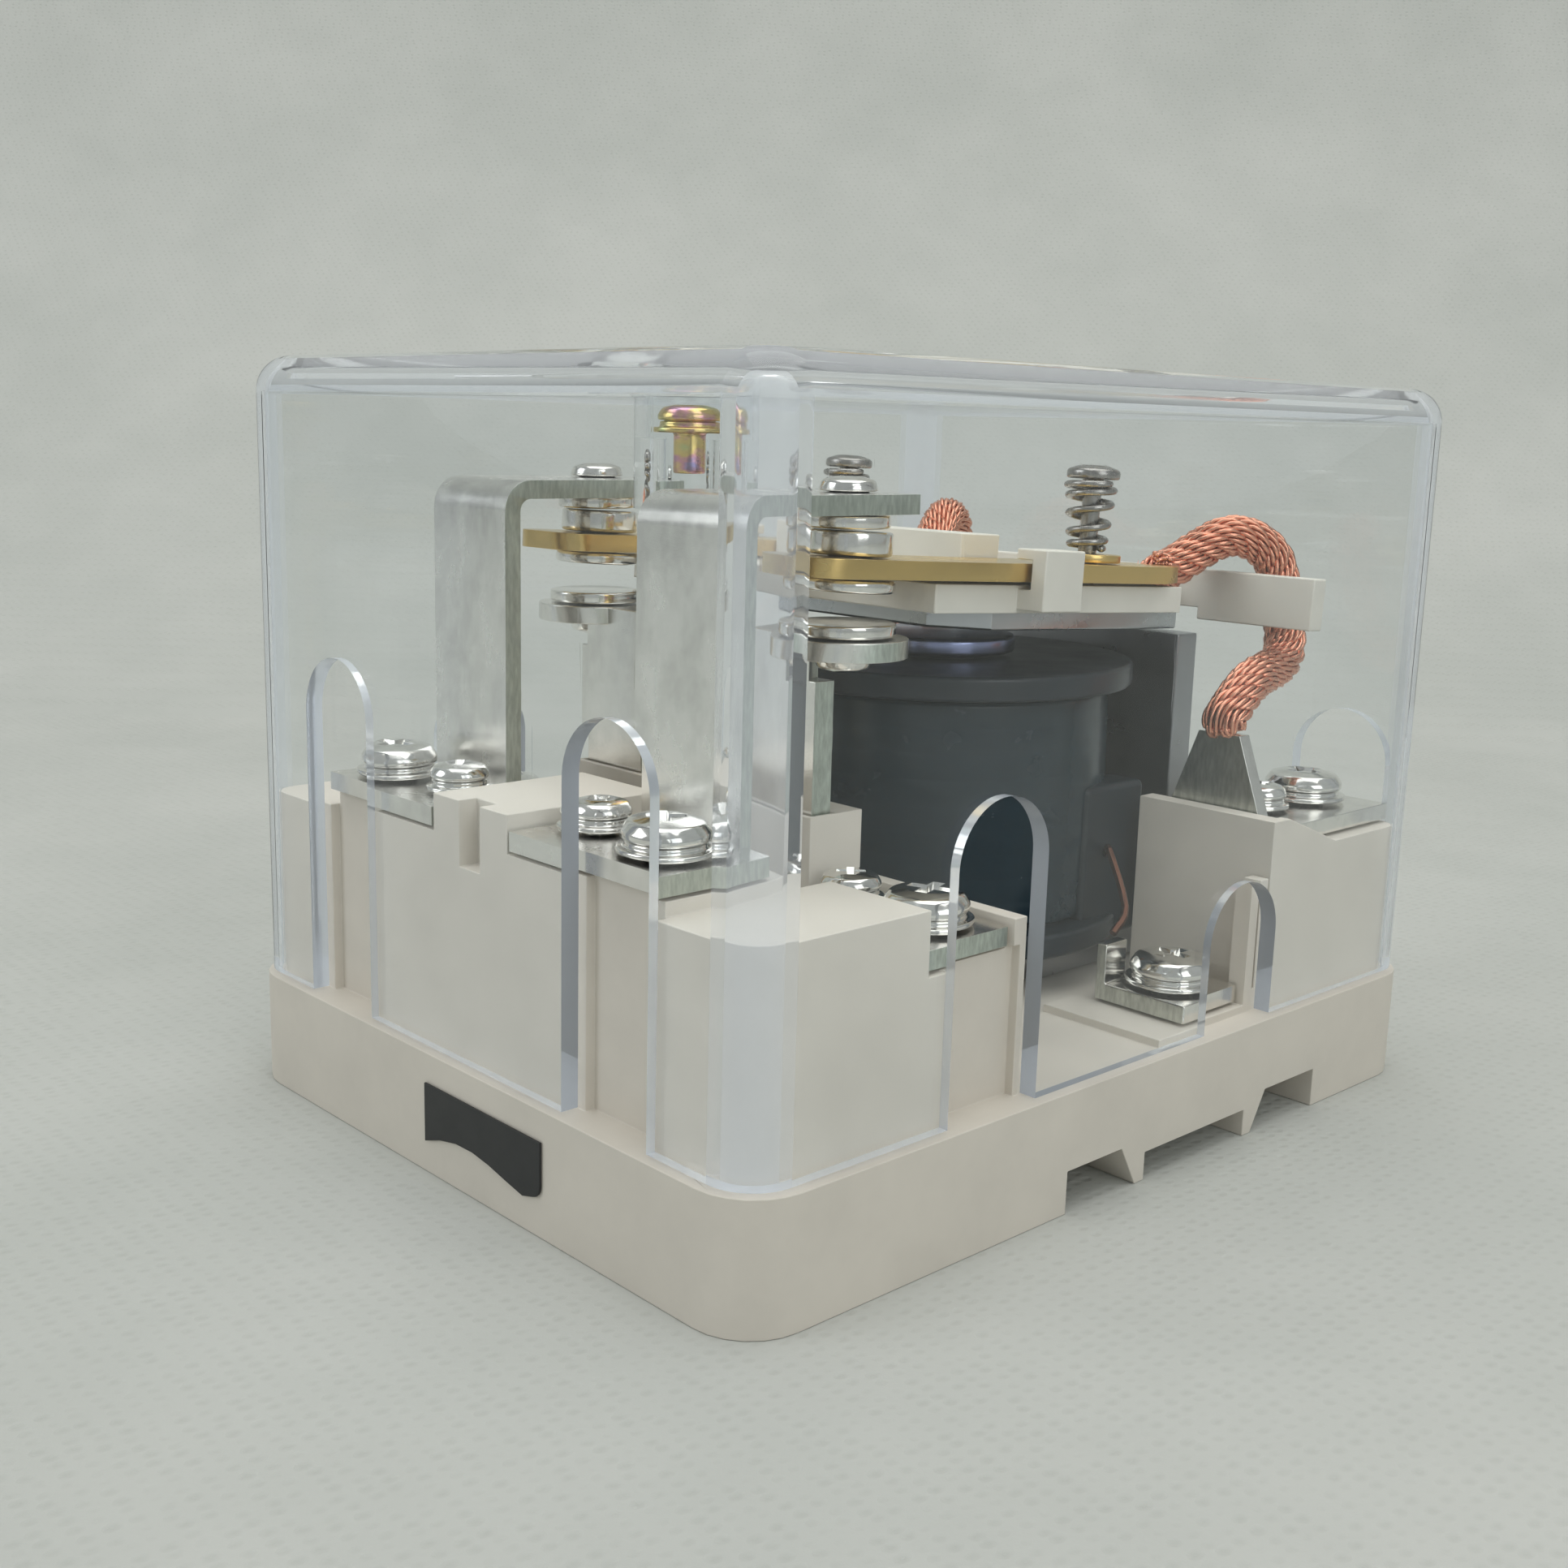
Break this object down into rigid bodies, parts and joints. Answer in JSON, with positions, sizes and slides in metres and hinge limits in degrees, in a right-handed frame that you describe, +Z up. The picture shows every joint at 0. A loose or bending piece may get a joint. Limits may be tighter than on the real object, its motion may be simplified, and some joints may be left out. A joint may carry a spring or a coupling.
{
  "type": "power relay",
  "caption": "Two-pole power relay under a clear dust cover, with screw terminals on its base and rail teeth underneath.",
  "frame": {"origin": "centre of the base's underside", "axes": "+X across the relay from pole to pole, +Y from the front terminals to the back terminals, +Z up"},
  "size_m": [0.068, 0.0862, 0.064],
  "materials": {
    "cream_plastic": "moulded satin, warm off-white",
    "clear_plastic": "clear moulded polycarbonate, faintly blue at its edges",
    "label_film": "dark charcoal film, satin",
    "yellow_zinc": "yellow zinc plating, faintly iridescent",
    "nickel_plate": "bright nickel plating with a fine grain",
    "silver_contact": "smooth silver alloy",
    "brass": "rolled brass, satin",
    "plated_steel": "zinc-plated steel, satin",
    "white_plastic": "moulded satin white",
    "black_plastic": "black moulding, semi-gloss",
    "winding_tape": "dark insulating tape over the winding",
    "copper": "bright stranded copper"
  },
  "bodies": {
    "base": {"base_moulding": "cream_plastic", "braid_left": "copper", "braid_right": "copper", "coil_bobbin": "black_plastic", "coil_clamp_screw_left": "nickel_plate", "coil_clamp_screw_right": "nickel_plate", "coil_lead_left": "copper", "coil_lead_right": "copper", "coil_terminal_left": "nickel_plate", "coil_terminal_right": "nickel_plate", "coil_winding": "winding_tape", "com_clamp_screw_left": "nickel_plate", "com_clamp_screw_right": "nickel_plate", "com_fixing_screw_left": "nickel_plate", "com_fixing_screw_right": "nickel_plate", "com_terminal_left": "nickel_plate", "com_terminal_right": "nickel_plate", "core": "plated_steel", "cover_post": "yellow_zinc", "nc_clamp_screw_left": "nickel_plate", "nc_clamp_screw_right": "nickel_plate", "nc_contact_left": "silver_contact", "nc_contact_right": "silver_contact", "nc_fixing_screw_left": "nickel_plate", "nc_fixing_screw_right": "nickel_plate", "nc_terminal_left": "nickel_plate", "nc_terminal_right": "nickel_plate", "no_clamp_screw_left": "nickel_plate", "no_clamp_screw_right": "nickel_plate", "no_contact_left": "silver_contact", "no_contact_right": "silver_contact", "no_fixing_screw_left": "nickel_plate", "no_fixing_screw_right": "nickel_plate", "no_terminal_left": "nickel_plate", "no_terminal_right": "nickel_plate", "rating_label": "label_film", "return_spring": "plated_steel", "yoke": "plated_steel", "yoke_screw_left": "nickel_plate", "yoke_screw_right": "nickel_plate"},
    "armature_assembly": {"armature": "plated_steel", "carrier_screw_left": "nickel_plate", "carrier_screw_right": "nickel_plate", "contact_carrier": "white_plastic", "moving_arm_left": "brass", "moving_arm_right": "brass", "moving_contact_left": "silver_contact", "moving_contact_right": "silver_contact", "press_spring_left": "plated_steel", "press_spring_right": "plated_steel", "spring_pin_left": "plated_steel", "spring_pin_right": "plated_steel", "spring_washer_left": "brass", "spring_washer_right": "brass"},
    "cover_assembly": {"cover": "clear_plastic", "cover_screw": "yellow_zinc"}
  },
  "joints": [
    {"name": "armature_hinge", "type": "hinge", "parent": "base", "child": "armature_assembly", "pos_m": [0, 0.0298, 0.04081], "axis": [1, 0, 0], "range_deg": [0, 2.72], "stiffness_Nm_per_rad": 0.2, "springref_deg": -11.46, "deforming": ["return_spring"]},
    {"name": "cover_lift", "type": "slide", "parent": "base", "child": "cover_assembly", "axis": [0, 0, 1], "range_m": [0, 0.06]}
  ]
}
